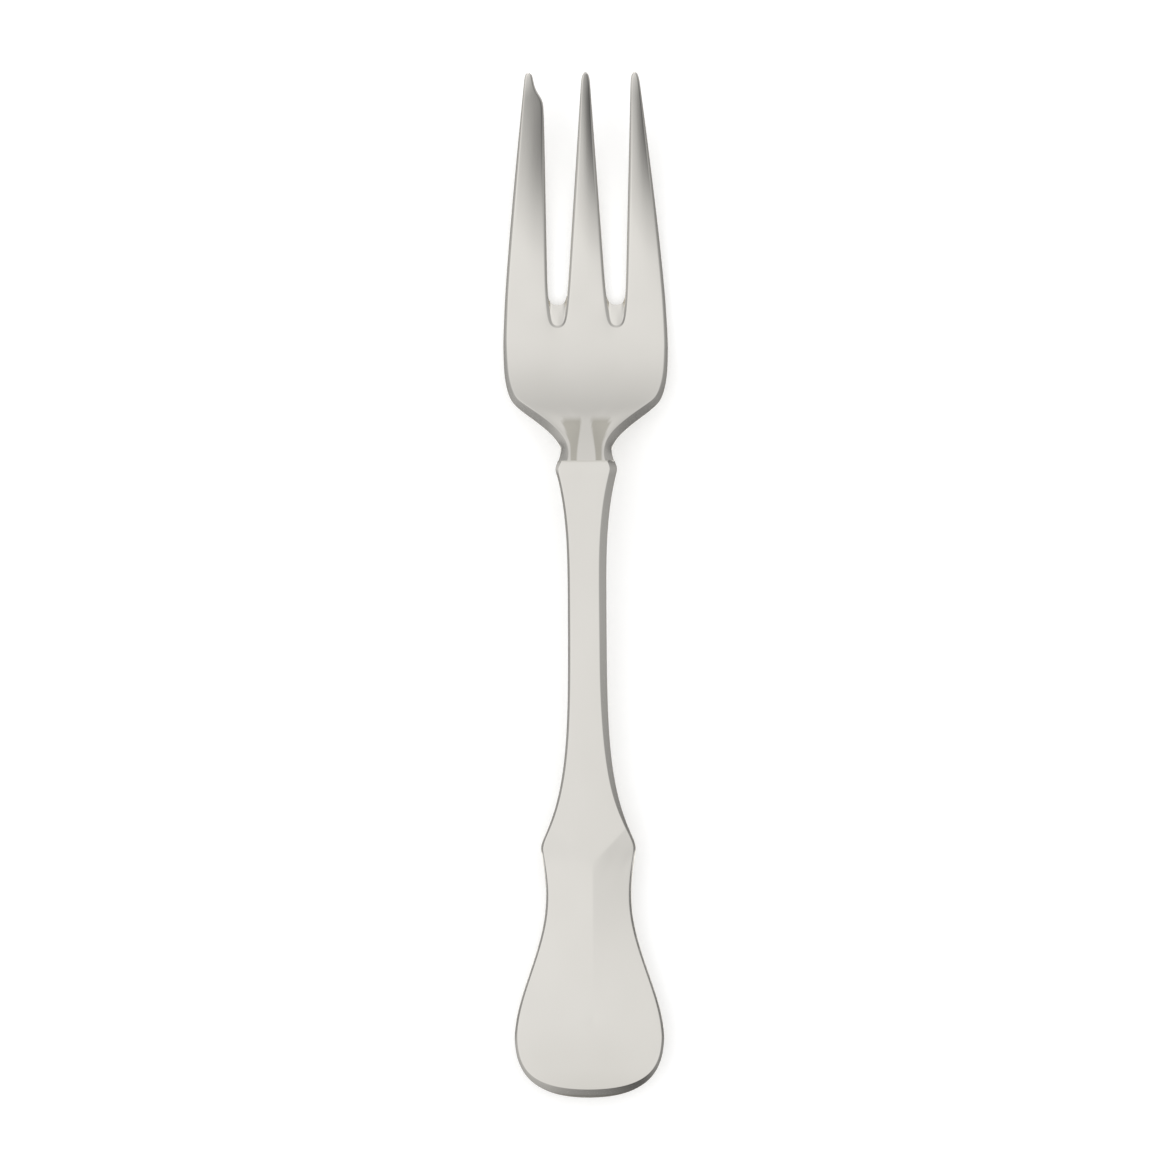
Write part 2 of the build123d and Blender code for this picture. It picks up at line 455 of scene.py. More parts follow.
# %% [markdown]
# Three helpers do what the modifier panel and the edge panel do: add a modifier, apply them in order, and
# give edges a bevel weight. On the handle, the edges of the bevel and the ridge get a weight. The ridge's
# weight falls along the bulb, so that it fades out.

# %% Modifiers and edge weights
edge_weight = 0.12
ridge_rows = 9
v_index = handle_rows.index(v_row)
face_points = columns * (last_row + 1)


def add_modifier(piece, kind, **settings):
    modifier = piece.modifiers.new(kind.lower(), kind)
    for setting, value in settings.items():
        setattr(modifier, setting, value)


def apply_modifiers(piece):
    bpy.ops.object.select_all(action="DESELECT")
    piece.select_set(True)
    bpy.context.view_layer.objects.active = piece
    for modifier in list(piece.modifiers):
        bpy.ops.object.modifier_apply(modifier=modifier.name)


def weigh_edges(piece, weight_of):
    weights = piece.data.attributes.new("bevel_weight_edge", "FLOAT", "EDGE")
    for edge in piece.data.edges:
        weights.data[edge.index].value = weight_of(*edge.vertices)


def facet_weight(rim, wall):
    rims = set(rim)
    walls = set(wall)

    def weight_of(a, b):
        if {a, b} <= rims or {a, b} <= walls:
            return edge_weight
        row_a, column_a = divmod(a, columns)
        row_b, column_b = divmod(b, columns)
        if max(a, b) < face_points:
            if column_a == column_b == 0 and min(row_a, row_b) >= v_index:
                return max(0, 1 - (max(row_a, row_b) - v_index) / ridge_rows)
            if row_a == row_b == v_index:
                return 1
        return 0

    return weight_of


print("the ridge starts at row", v_index, "and fades over", ridge_rows, "rows")


# %% [markdown]
# Files and wheels leave the two halves of a real handle uneven. On this one the ridge lies a little right
# of the middle, the right bevel is wider above the hip, and the left one stays narrow all along. So some
# points move once the half has been mirrored, and their neighbours less and less, as with proportional
# editing. A second helper turns all faces outwards, which the wall depends on.

# %% Helpers to finish the shells
ridge_shift = 0.6
ridge_places = [(-70, 0), (-62, 1), (v_row[0], 1), (-30, 0)]
right_wider = [(-37.5, 0), (-30, 0.33), (-18, 0.25), (-4, 0)]
right_steepness = 0.75
left_width = [(16.4, 0.4), (joint_y, 0.58)]
left_drop = [(16.4, 0.37), (joint_y, 0.34)]


def make_uneven(piece):
    bpy.ops.object.mode_set(mode="EDIT")
    bpy.ops.mesh.select_mode(type="VERT")
    mesh = bmesh.from_edit_mesh(piece.data)
    ring = mesh.verts.layers.int["ring"]
    points = [(vert.index, vert[ring], *[v / mm for v in vert.co]) for vert in mesh.verts]
    for i, number, x, y, z in points:
        wider = eased(right_wider, y)
        deeper = wider * right_steepness
        if x < 0:
            wider = eased(left_width, y) - bevel_width(y)
            deeper = eased(left_drop, y) - bevel_drop(y)
        if number == wall_ring:
            z -= deeper
        elif number < wall_ring:
            across = min(abs(x) / (handle_half_width(y) - bevel_width(y)), 1)
            inwards = -1 if x > 0 else 1
            x += ridge_shift * eased(ridge_places, y) * (1 - across**2) + inwards * wider * across**4
        move_point(piece, i, (x, y, z))
    bpy.ops.object.mode_set(mode="OBJECT")


def face_outwards(piece, side):
    bpy.ops.object.mode_set(mode="EDIT")
    bpy.ops.mesh.select_all(action="SELECT")
    bpy.ops.mesh.normals_make_consistent(inside=False)
    mesh = bmesh.from_edit_mesh(piece.data)
    upwards = sum(face.normal.z * face.calc_area() for face in mesh.faces)
    if upwards * side < 0:
        bpy.ops.mesh.flip_normals()
    bpy.ops.object.mode_set(mode="OBJECT")


print("width of the left bevel at the joint:", left_width[-1][1])


# %% [markdown]
# Now the half is mirrored and Solidify gives the sheet its wall. A small bevel on the weighted edges and
# two levels of subdivision then make the edges crisp but not sharp. The wall comes before the rounding,
# because the other way round, the inside of each tight edge would fold over itself.

# %% Finish the shells
shell_wall = 0.45
facet_round = 0.3
weld_distance = 0.001 * mm
smooth_angle = math.radians(40)
for shell_name, shell_side in shell_sides.items():
    piece, rim, wall = shell_pieces[shell_name]
    weigh_edges(piece, facet_weight(rim, wall))
    add_modifier(piece, "MIRROR", use_clip=True, merge_threshold=weld_distance)
    apply_modifiers(piece)
    if shell_side > 0:
        make_uneven(piece)
    face_outwards(piece, shell_side)
    creases = {"edge_crease_outer": 1, "edge_crease_inner": 1}
    add_modifier(piece, "SOLIDIFY", thickness=shell_wall * mm, offset=-1, **creases)
    add_modifier(piece, "BEVEL", width=facet_round * mm, segments=2, limit_method="WEIGHT", profile=0.5)
    add_modifier(piece, "SUBSURF", levels=2, render_levels=2)
    apply_modifiers(piece)
    bpy.ops.object.shade_smooth_by_angle(angle=smooth_angle)
    print(shell_name, "has", len(piece.data.polygons), "faces")

# %% [markdown]
# The head is struck from one blank: a neck, a shallow bowl and three tines. It starts as a flat grid,
# like the shells. Its columns follow the edges of the tines, so the two slots are simply faces to delete.
# The slots could also be cut with booleans, but a grid that follows the form subdivides more smoothly.
# First come the lines of its two sides: neck and bowl run through measured points, the tines on a curve.

# %% Sides of the head
bowl_side = [(17.6, 4.3), (18.3, 4.08), (19.2, 3.8), (19.9, 3.74), (20.7, 3.95), (22, 4.9), (23.5, 6.65)]
bowl_half = 12.1
bowl_side += [(25, 8.7), (26.3, 10.35), (27.4, 11.15), (29, 11.65), (31, 11.97), (34.9, bowl_half)]
widest_y = joint_y + 16.6
tine_bend_y = joint_y + 25.7
left_spread = 8.65
right_spread = 7.95


def tine_share(y):
    straight = 2 * (tine_bend_y - widest_y)
    bend = tip_y - widest_y - straight
    return (-straight + math.sqrt(straight**2 + 4 * bend * max(y - widest_y, 0))) / (2 * bend)


def head_side(y, tip_spread):
    if y < widest_y:
        return through(bowl_side, y)
    return between(bowl_half, tip_spread, tine_share(y) ** 2)


print("half width of the head at the bowl and the tips:", head_side(widest_y, left_spread), left_spread)


# %% [markdown]
# From the side, the head comes down from the neck to the belly, which lies close to the table, and the
# tines rise again to their tips. The metal gets thinner towards the tips, as it does when it is forged.

# %% Side view of the head
bowl_y = joint_y + 6.7
tip_rise = 10.2
bowl_rise = 4.7
bowl_power = 1.9
neck_back = seam_height(joint_y) - 1.5
thickness_places = [(joint_y, 3.0), (belly_y, 2.2), (tip_y, 1.3)]


def head_back(y):
    if y > belly_y:
        return tip_rise * ((y - belly_y) / (tip_y - belly_y)) ** 2
    if y > bowl_y:
        return bowl_rise * ((belly_y - y) / (belly_y - bowl_y)) ** bowl_power
    return bowl_rise + (neck_back - bowl_rise) * (bowl_y - y) / (bowl_y - joint_y)


def head_thickness(y):
    return eased(thickness_places, y)


print("back of the tips and their thickness in mm:", head_back(tip_y), head_thickness(tip_y))


# %% [markdown]
# Fifteen columns run along the head. Above the belly they follow the edges of the three tines. The left
# tine is wide, for cutting, and its inner edge turns outwards near the tip to make a small beak. Below
# the belly, the same columns draw together towards the neck.

# %% Columns of the head
middle_tine = 0.2
middle_root = 2.925
middle_tip = 0.575
right_root = 5.875
right_tip = 6.8
slot_parts = 4
mid_belly = 8.74
slot_belly = 5.5
cutting_edge = [(41, -5.5), (55, -5.7), (67, -5.85), (70.3, -5.97), (71.2, -6.2), (71.8, -6.65)]
cutting_edge += [(72.4, -7.0), (73.2, -7.3), (75, -7.6)]
mid_places = [(joint_y, 2.25), (20.7, 2.35), (22, 2.8), (23.5, 3.3), (25, 4.0), (27.4, 5.8)]
mid_places += [(31, 7.9), (belly_y, mid_belly)]
slot_places = [(joint_y, 1.4), (20.7, 1.4), (22, 1.55), (23.5, 1.85), (25, 2.4), (27.4, 3.6)]
slot_places += [(31, 4.9), (belly_y, slot_belly)]


def across_slot(left, right):
    return [left + (right - left) * k / slot_parts for k in range(slot_parts + 1)]


def head_columns(y):
    left = -head_side(y, left_spread)
    right = head_side(y, right_spread)
    if y < belly_y:
        whole = head_columns(belly_y)
        mid = through(mid_places, y) / mid_belly
        slot = through(slot_places, y) / slot_belly
        return [left, whole[1] * mid, *[x * slot for x in whole[2:13]], whole[13] * mid, right]
    along = (y - belly_y) / (tip_y - belly_y)
    half_middle = between(middle_root, middle_tip, along)
    inner_left = through(cutting_edge, y)
    inner_right = between(right_root, right_tip, along)
    columns_at = [left, (left + inner_left) / 2]
    columns_at += across_slot(inner_left, middle_tine - half_middle)
    columns_at += [middle_tine]
    columns_at += across_slot(middle_tine + half_middle, inner_right)
    return columns_at + [(inner_right + right) / 2, right]


print("columns at the belly:", [round(x, 2) for x in head_columns(belly_y)])

# %% [markdown]
# Rows cross the columns, closer together where the outline bends. In the bowl they are bent, so that they
# meet its sides more squarely. Every point gets a number that says where in the grid it was, because
# deleting and extruding renumber the points. Then the faces of the two slots are deleted.

# %% Lay out the head
neck_rows = [(17.6, 17.6), (18.3, 18.3), (18.9, 18.9), (19.6, 19.6), (20.4, 20.7), (21.3, 22)]
neck_rows += [(22.3, 23.5), (23.5, 25), (24.8, 26.3), (26.2, 27.4), (28, 29), (30.3, 31)]
neck_rows += [(32.6, 33), (34.6, 34.8), (36.3, 36.3)]
tine_rows = [belly_y, 43.2, 46.5, 50, 54, 58, 62, 65.5, 68, 69.8, 70.8, 71.5, 72.2, 73, 74, 74.6, 75]
head_rows = neck_rows + [(y, y) for y in tine_rows]
root_row = len(neck_rows)
tip_row = len(head_rows) - 1
head_width = 15
slot_starts = (2, 8)


def in_slot(column):
    return next((slot for slot in slot_starts if slot <= column <= slot + slot_parts), None)


head = start_grid("head", head_width, len(head_rows))
mesh = bmesh.from_edit_mesh(head.data)
spot = mesh.verts.layers.int.new("spot")
for vert in mesh.verts:
    vert[spot] = vert.index
bpy.ops.mesh.select_mode(type="FACE")
bpy.ops.mesh.select_all(action="DESELECT")
for face in mesh.faces:
    places = [divmod(vert[spot], head_width) for vert in face.verts]
    slots = {in_slot(column) for _, column in places}
    face.select = len(slots) == 1 and None not in slots and min(row for row, _ in places) >= root_row
bpy.ops.mesh.delete(type="FACE")
print("points in the front of the head:", len(bmesh.from_edit_mesh(head.data).verts))

# %% [markdown]
# Extruding the sheet three times gives it a front, two rings round its rim and a back. A second number on
# each point says in which of the four layers it lies. The points are moved later, when all their places
# are known. Solidify could give the thickness too, but not a bevel that changes along the way.

# %% Extrude the head
back_layer = 3
bpy.ops.mesh.select_mode(type="VERT")
bpy.ops.mesh.select_all(action="SELECT")
mesh = bmesh.from_edit_mesh(head.data)
mesh.verts.layers.int.new("layer")
for step in range(1, back_layer + 1):
    bpy.ops.mesh.extrude_region_move()
    mesh = bmesh.from_edit_mesh(head.data)
    layer = mesh.verts.layers.int["layer"]
    for vert in mesh.verts:
        if vert.select:
            vert[layer] = step
print("points in the four layers:", len(mesh.verts))


# %% [markdown]
# The front of the head isn't quite flat. Each tine has a faint crown along its middle, the outer tines
# roll to the left near their tips, and all tips dip a little. On the neck, a flat strip lies between two
# flutes. Such small slopes hardly change the outline, but they decide what the metal mirrors.

# %% Front of the head
tines = ((0, 1, 2), (6, 7, 8), (12, 13, 14))
tine_middles = [tine[1] for tine in tines]
middle_column = 7
tine_crown = 0.12
crown_growth = 4
tine_roll = 0.05
roll_signs = {0: -1, 2: 1, 12: -1, 14: 1}
roll_start = 0.55
roll_length = 0.4
tip_dip = 0.4
tip_dip_y = 71.5
flute_middle = 2.6
neck_flank = 0.15
neck_strip = [(18.3, 1.4), (25, 0.75)]
flank_fade = [(22, 0), (25, 1)]


def front_height(x, y, column):
    along = max((y - belly_y) / (tip_y - belly_y), 0)
    crown = 0
    if column in tine_middles:
        crown = tine_crown * smooth_step(min(along * crown_growth, 1)) * (1 - along**3)
    roll = roll_signs.get(column, 0)
    roll *= tine_roll * smooth_step(min(max(along - roll_start, 0) / roll_length, 1))
    turn = min(through(mid_places, y), flute_middle) if y < belly_y else 0
    flank = max(min(abs(x), turn) - eased(neck_strip, y) - max(abs(x) - turn, 0), 0)
    flank *= neck_flank * (1 - eased(flank_fade, y))
    tip = tip_dip * max((y - tip_dip_y) / (tip_y - tip_dip_y), 0) ** 2
    return head_back(y) + head_thickness(y) + crown + roll - flank - tip


print("front of the belly in mm:", round(front_height(0, belly_y, middle_column), 2))


# %% [markdown]
# The tines end in round tips, the middle and right one pointed, the wide one blunter. Towards the tips,
# the columns of each tine draw together on a part of a circle, as if the tip were filed round.

# %% Tips of the tines
round_y = 73.6
round_length = 1.6
round_power = 2
blunt_power = 4
blunt_end = 0.1


def outline_place(row, column):
    middle, side = head_rows[row]
    xs = head_columns(side)
    y = middle + (side - middle) * abs(column - middle_column) / middle_column
    if row <= root_row or side < round_y:
        return xs[column], y
    tine = min(tines, key=lambda three: min(abs(column - c) for c in three))
    is_blunt = tine == tines[0]
    taper = math.sqrt(1 - ((side - round_y) / round_length) ** (blunt_power if is_blunt else round_power))
    shorter = blunt_end if is_blunt and row == tip_row else 0
    return between(xs[tine[1]], xs[column], taper), y - shorter


print("tips at y:", [round(outline_place(tip_row, tine[1])[1], 2) for tine in tines])


# %% [markdown]
# A bevel runs all round the front, wide at the neck and fine on the tines. It is what draws the thin dark
# line along every edge in the photograph: at a slant of about 40 degrees it mirrors the dark horizon of
# the room. So its slant is set here, and its depth follows from its width.

# %% Bevel of the head
slot_bevel = 0.4
left_tilt = 0.88
right_tilt = 0.84
neck_ease = 0.13
ease_fade = [(21.5, 0), (25, 1)]
slant_gain = 0.16
least_slope = 0.3
near = 0.1
mean_spread = 8.5
inner_sides = {0: 1, 2: -1, 6: 1, 8: -1, 12: 1, 14: -1}
outer_columns = (0, head_width - 1)
rim_places = [(joint_y, 1.25), (24, 1.25), (26, 1.1), (28, 0.85), (31, 0.65), (belly_y, 0.5)]
rim_places += [(60, 0.42), (tip_y, 0.2)]


def bevel_slope(y, toward_x, toward_y):
    ahead = head_back(y + near) + head_thickness(y + near)
    behind = head_back(y - near) + head_thickness(y - near)
    rise = (ahead - behind) / (2 * near)
    tilt = (left_tilt + right_tilt) / 2 + toward_x * (left_tilt - right_tilt) / 2
    tilt += slant_gain * abs(toward_x * toward_y) - neck_ease * (1 - eased(ease_fade, y))
    along = -toward_y * rise
    return math.sqrt(max(along**2 - rise**2 + tilt**2, least_slope**2))


def inward(row, column, y):
    sideways = inner_sides.get(column, 0)
    if column in outer_columns:
        wider = head_side(y + near / 2, mean_spread) - head_side(y - near / 2, mean_spread)
        slope = wider / near if row else 0
        length = math.hypot(1, slope)
        return sideways / length, slope / length
    if root_row < row < tip_row:
        return sideways, 0
    return (0, -1) if row == tip_row else (0, 0)


print("slope of the bevel at the belly:", round(bevel_slope(belly_y, 1, 0), 2))


# %% [markdown]
# Each slot ends in a small ramp, a rounded shelf filed into the front of the bowl. Three curves draw it:
# its upper edge in the bowl, its foot, and the wall where the slot itself ends. Each is given by its
# width and its place along the fork, at the middle, half way and at the side of the slot.

# %% Ends of the slots
ramp_edge = [(0, -3.3), (0.62, -3.05), (1.08, -2.0)]
ramp_foot = [(0, -2.9), (0.43, -2.75), (0.74, -1.9)]
slot_end = [(0, 0.15), (0.46, 0.25), (0.91, 0.7)]
ramp_drop = 0.3
right_foot = 0.1
foot_share = (0.35, 0.8, 1)


def root_place(column, step):
    slot = in_slot(column)
    left = head_columns(belly_y)[slot]
    right = head_columns(belly_y)[slot + slot_parts]
    from_middle = column - slot - slot_parts // 2
    across = from_middle / (slot_parts // 2)
    wide, back = (ramp_edge, ramp_foot, slot_end, slot_end)[step][abs(from_middle)]
    if step == 1 and across > 0:
        wide += right_foot * across
    x = (left + right) / 2 + math.copysign(wide, across) * (right - left) / 2
    y = belly_y + back
    if step == back_layer:
        return x, y, head_back(y)
    share = (0, foot_share[abs(from_middle)], 1)[step]
    return x, y, head_back(y) + head_thickness(y) - ramp_drop * share


print("middle of the left ramp:", [round(v, 2) for v in root_place(4, 0)])


# %% [markdown]
# Now every point can go to its place. The rings lie on the outline, and the edges of the front and the
# back lie in from it, which leaves the bevel. The back's edge is only rounded a little.

# %% Move the points of the head
back_rounding = 0.4


def head_place(row, column, step):
    if row == root_row and in_slot(column) is not None:
        return root_place(column, step)
    x, y = outline_place(row, column)
    toward_x, toward_y = inward(row, column, y)
    inner_edge = in_slot(column) is not None and row >= root_row
    rim_bevel = through(rim_places, y)
    bevel = min(slot_bevel, rim_bevel) if inner_edge else rim_bevel
    face_x = x + toward_x * bevel
    face_y = y + toward_y * bevel
    front_z = front_height(face_x, face_y, column)
    back_z = head_back(y)
    if step == 0:
        return face_x, face_y, front_z
    if step == back_layer:
        return face_x, face_y, head_back(face_y)
    if toward_x or toward_y:
        drop = bevel * bevel_slope(face_y, toward_x, toward_y)
        return x, y, front_z - drop if step == 1 else back_z + back_rounding * bevel
    return x, y, front_z + (back_z - front_z) * step / back_layer


mesh = bmesh.from_edit_mesh(head.data)
mesh.verts.index_update()
spot = mesh.verts.layers.int["spot"]
layer = mesh.verts.layers.int["layer"]
stations = [(vert.index, *divmod(vert[spot], head_width), vert[layer]) for vert in mesh.verts]
for i, row, column, step in stations:
    move_point(head, i, head_place(row, column, step))
bpy.ops.mesh.select_all(action="SELECT")
bpy.ops.mesh.normals_make_consistent(inside=False)
bpy.ops.object.mode_set(mode="OBJECT")
print("faces of the head:", len(head.data.polygons))

# %% [markdown]
# Subdivision rounds everything, as a polishing wheel does. A tiny bevel on the edges of the rim goes
# before it, so that they stay crisp. Its weight is larger along the bowl, where edges are worn rounder.

# %% Finish the head
spots = head.data.attributes["spot"].data
layers = head.data.attributes["layer"].data
head_round = 0.2 * mm
fine = 0.2
front_weights = [(0, fine), (6, fine), (10, 0.5), (root_row, 0.5), (tip_row - 6, 0.4), (tip_row, fine)]


def rim_weight(a, b):
    step = layers[a].value
    if layers[b].value != step:
        return 0
    rows = []
    for i in (a, b):
        row, column = divmod(spots[i].value, head_width)
        slot_edge = row >= root_row and in_slot(column) is not None
        if not (column in outer_columns or row in (0, tip_row) or slot_edge):
            return 0
        rows.append(row)
    if step > 0 or max(rows) == root_row:
        return fine
    return through(front_weights, min(rows))


weigh_edges(head, rim_weight)
add_modifier(head, "BEVEL", width=head_round, segments=2, limit_method="WEIGHT", use_clamp_overlap=False)
add_modifier(head, "SUBSURF", levels=2, render_levels=2)
apply_modifiers(head)
bpy.ops.object.shade_smooth_by_angle(angle=smooth_angle)
print("faces of the finished head:", len(head.data.polygons))

# %% [markdown]
# Silver darkens first where a polishing cloth seldom goes, such as the shoulder of the handle and the
# seam of its shells. The two flutes beside the strip of the neck are darker too, partly tarnish and
# partly painted shade of the recess. The sides and the back get painted shade, more where a point faces
# away from the light above, and the end of the handle gets a little painted shade. An occlusion bake
# could find such places, but these few are known, so they are painted on the points of each mesh, as with
# a brush.

# %% Paint where the silver is darker
flute_start = joint_y - 1
flute_end = 24.4
flute_outer = 3.4
flute_soft = 0.3
flute_end_soft = 1.2
seam_reach = 0.3
shoulder_reach = 0.35
shoulder_tarnish = 0.5
# Painted shade at the end of the handle, strongest at its very end.
painted_end_shade = [(-74.5, 0.24), (-70, 0.1), (-63, 0)]
# Painted shade on the sides and the back of every piece.
side_amount = 0.75
side_start = 0.62
side_range = 0.5


def soft_between(value, low, high, soft):
    rise = min(max((value - low) / soft + 0.5, 0), 1)
    fall = min(max((high - value) / soft + 0.5, 0), 1)
    return smooth_step(rise) * smooth_step(fall)


# Painted shade of the recess in the two flutes, with some tarnish.
def flute_tarnish_and_shade(x, y, z):
    if y > belly_y:
        return 0
    outer = min(through(mid_places, max(y, joint_y)), flute_outer)
    across = soft_between(abs(x), eased(neck_strip, y), outer, flute_soft)
    along = soft_between(y, flute_start, flute_end, flute_end_soft)
    is_front = z > head_back(y) + 1
    return across * along * is_front


# Tarnish along the seam and at the shoulder, and painted shade at the end of the handle.
def seam_tarnish_and_end_shade(x, y, z):
    seam = max(1 - abs(z - seam_height(y)) / seam_reach, 0)
    shoulder = max(1 - abs(y - joint_y) / shoulder_reach, 0)
    return max(seam, shoulder_tarnish * shoulder, eased(painted_end_shade, y))


# Painted shade, growing as a point faces away from the light above.
def painted_side_shade(facing_up):
    return side_amount * smooth_step(min(max((side_start - facing_up) / side_range, 0), 1))


def paint(piece, amount_at):
    painted = piece.data.attributes.new("tarnish_and_shade", "FLOAT", "POINT")
    for vert in piece.data.vertices:
        place = [v / mm for v in vert.co]
        # Each point takes the stronger of its own mark and the painted shade of the sides and back.
        painted.data[vert.index].value = max(amount_at(*place), painted_side_shade(vert.normal.z))
    print(piece.name, "is darker at", sum(value.value > 0.2 for value in painted.data), "points")


handle_front = shell_pieces["handle_front"][0]
handle_back = shell_pieces["handle_back"][0]
# The head gets the flutes, the shells the seam, shoulder and end; all get painted shade on sides and
# back.
paint(head, flute_tarnish_and_shade)
paint(handle_front, seam_tarnish_and_end_shade)
paint(handle_back, seam_tarnish_and_end_shade)


# %% [markdown]
# The finishes are built from nodes. A few helpers lay what comes back again and again: a new material, a
# ramp of grey levels, a sum, a stretched noise, and a mix of two colours.

# %% Helpers for nodes
ramp_blend = "B_SPLINE"


def new_material(name):
    material = bpy.data.materials.new(name)
    material.use_nodes = True
    tree = material.node_tree
    return material, tree, tree.nodes["Principled BSDF"]


def ramp_of(tree, share, stops):
    ramp = tree.nodes.new("ShaderNodeValToRGB")
    ramp.color_ramp.interpolation = ramp_blend
    elements = ramp.color_ramp.elements
    while len(elements) < len(stops):
        elements.new(0.5)
    for element, (place, level) in zip(elements, stops):
        element.position = place
        element.color = (level, level, level, 1)
    tree.links.new(share, ramp.inputs["Fac"])
    return ramp.outputs["Color"]


def math_node(tree, operation, first, second):
    node = tree.nodes.new("ShaderNodeMath")
    node.operation = operation
    for socket, value in zip(node.inputs, (first, second)):
        if isinstance(value, (int, float)):
            socket.default_value = value
        else:
            tree.links.new(value, socket)
    return node.outputs[0]


def noise_of(tree, vector, scale, turn=0, detail=2):
    mapping = tree.nodes.new("ShaderNodeMapping")
    mapping.inputs["Scale"].default_value = scale
    mapping.inputs["Rotation"].default_value = (0, 0, turn)
    tree.links.new(vector, mapping.inputs["Vector"])
    noise = tree.nodes.new("ShaderNodeTexNoise")
    noise.inputs["Scale"].default_value = 1
    noise.inputs["Detail"].default_value = detail
    tree.links.new(mapping.outputs[0], noise.inputs["Vector"])
    return noise.outputs["Fac"]


def mix_colour(tree, share, first, second):
    mix = tree.nodes.new("ShaderNodeMix")
    mix.data_type = "RGBA"
    tree.links.new(share, mix.inputs["Factor"])
    for socket, value in ((mix.inputs["A"], first), (mix.inputs["B"], second)):
        if isinstance(value, tuple):
            socket.default_value = value
        else:
            tree.links.new(value, socket)
    return mix.outputs["Result"]


print("ramps blend as", ramp_blend)


# %% [markdown]
# Polished silver is never quite even. Cloths leave very fine marks along the piece, use leaves hairlines
# that cross them, and the polish is a little duller in soft patches. These marks are one node group, so
# that the head and the handle can use it with their own values. The group only puts out a colour, a
# roughness and a height. First come its sockets and the patterns of the marks.

# %% Marks in the polish
cloth_scale = (9000, 260, 9000)
patch_scale = (70, 45, 70)
hairline_stretch = 14
polish = bpy.data.node_groups.new("silver polish", "ShaderNodeTree")
inputs = {"Vector": "Vector", "Silver": "Color", "Tarnish And Shade": "Color"}
# The mask holds tarnish and painted shade, and the darker colour stands for both.
inputs |= {"Tarnish And Shade Mask": "Float", "Roughness": "Float", "Marks": "Float"}
outputs = {"Color": "Color", "Roughness": "Float", "Height": "Float"}
for in_out, sockets in (("INPUT", inputs), ("OUTPUT", outputs)):
    for socket_name, kind in sockets.items():
        polish.interface.new_socket(socket_name, in_out=in_out, socket_type="NodeSocket" + kind)
given = polish.nodes.new("NodeGroupInput").outputs
result = polish.nodes.new("NodeGroupOutput").inputs

cloth_marks = noise_of(polish, given["Vector"], cloth_scale)
patches = noise_of(polish, given["Vector"], patch_scale)
hairlines = 0
for turn, scale in ((0.5, 300), (-0.9, 220), (1.35, 260)):
    lines = noise_of(polish, given["Vector"], (scale * hairline_stretch, scale, scale), turn, 0)
    thin = ramp_of(polish, lines, [(0.68, 0), (0.74, 1), (0.8, 0)])
    hairlines = math_node(polish, "MAXIMUM", hairlines, thin)
print("nodes for the marks:", len(polish.nodes))

# %% [markdown]
# The patterns now become a colour, a roughness and a height. The soft patches and the painted places lead
# from the silver's colour to a darker one, that of tarnish and of painted shade. The marks make the
# surface a little rougher, and the hairlines lie lower than the rest.

# %% Colour and gloss of the polish
patch_level = 0.35
patch_tint = 0.35
patch_gloss = 0.04
cloth_strength = 0.6
patch_share = math_node(polish, "SUBTRACT", patches, patch_level)
patch_share = math_node(polish, "MULTIPLY", patch_share, patch_tint)
# Random patches plus the painted mask of tarnish and painted shade.
mask = math_node(polish, "ADD", patch_share, given["Tarnish And Shade Mask"])
mask = math_node(polish, "MINIMUM", math_node(polish, "MAXIMUM", mask, 0), 1)
polish.links.new(mix_colour(polish, mask, given["Silver"], given["Tarnish And Shade"]), result["Color"])
marks = math_node(polish, "MULTIPLY", cloth_marks, cloth_strength)
marks = math_node(polish, "ADD", marks, hairlines)
rougher = math_node(polish, "MULTIPLY", marks, given["Marks"])
duller = math_node(polish, "MULTIPLY", patches, patch_gloss)
rough = math_node(polish, "ADD", math_node(polish, "ADD", given["Roughness"], rougher), duller)
polish.links.new(rough, result["Roughness"])
polish.links.new(math_node(polish, "SUBTRACT", cloth_marks, hairlines), result["Height"])
print("nodes in the polish group:", len(polish.nodes))


# %% [markdown]
# The metal itself is a Principled shader in each material. The head is used and polished more, so it has
# more marks than the handle. The bump is very small, because such marks only blur the reflections.

# %% Silver
silver_colour = (0.94, 0.915, 0.865, 1)
# Darker silver, used for tarnish and for painted shade.
tarnish_and_shade_colour = (0.65, 0.625, 0.56, 1)
mark_strength = 0.04
mark_depth = 0.02 * mm


def make_silver(name, roughness, marks):
    material, tree, shader = new_material(name)
    shader.inputs["Metallic"].default_value = 1
    group = tree.nodes.new("ShaderNodeGroup")
    group.node_tree = polish
    values = {"Silver": silver_colour, "Tarnish And Shade": tarnish_and_shade_colour, "Roughness": roughness, "Marks": marks}
    for socket_name, value in values.items():
        group.inputs[socket_name].default_value = value
    place = tree.nodes.new("ShaderNodeTexCoord")
    tree.links.new(place.outputs["Object"], group.inputs["Vector"])
    # The painted points carry tarnish and painted shade.
    painted = tree.nodes.new("ShaderNodeAttribute")
    painted.attribute_name = "tarnish_and_shade"
    tree.links.new(painted.outputs["Fac"], group.inputs["Tarnish And Shade Mask"])
    bump = tree.nodes.new("ShaderNodeBump")
    bump.inputs["Strength"].default_value = mark_strength
    bump.inputs["Distance"].default_value = mark_depth
    tree.links.new(group.outputs["Height"], bump.inputs["Height"])
    tree.links.new(group.outputs["Color"], shader.inputs["Base Color"])
    tree.links.new(group.outputs["Roughness"], shader.inputs["Roughness"])
    tree.links.new(bump.outputs["Normal"], shader.inputs["Normal"])
    return material


head_silver = make_silver("head silver", 0.06, 0.05)
handle_silver = make_silver("handle silver", 0.07, 0.035)
print("silver materials:", head_silver.name, "and", handle_silver.name)

# %% [markdown]
# The cement inside the handle is a hard brown resin with grains. It can't be seen from outside, but who
# takes the handle apart will find it. One fine noise gives its colour, its gloss and its grain.

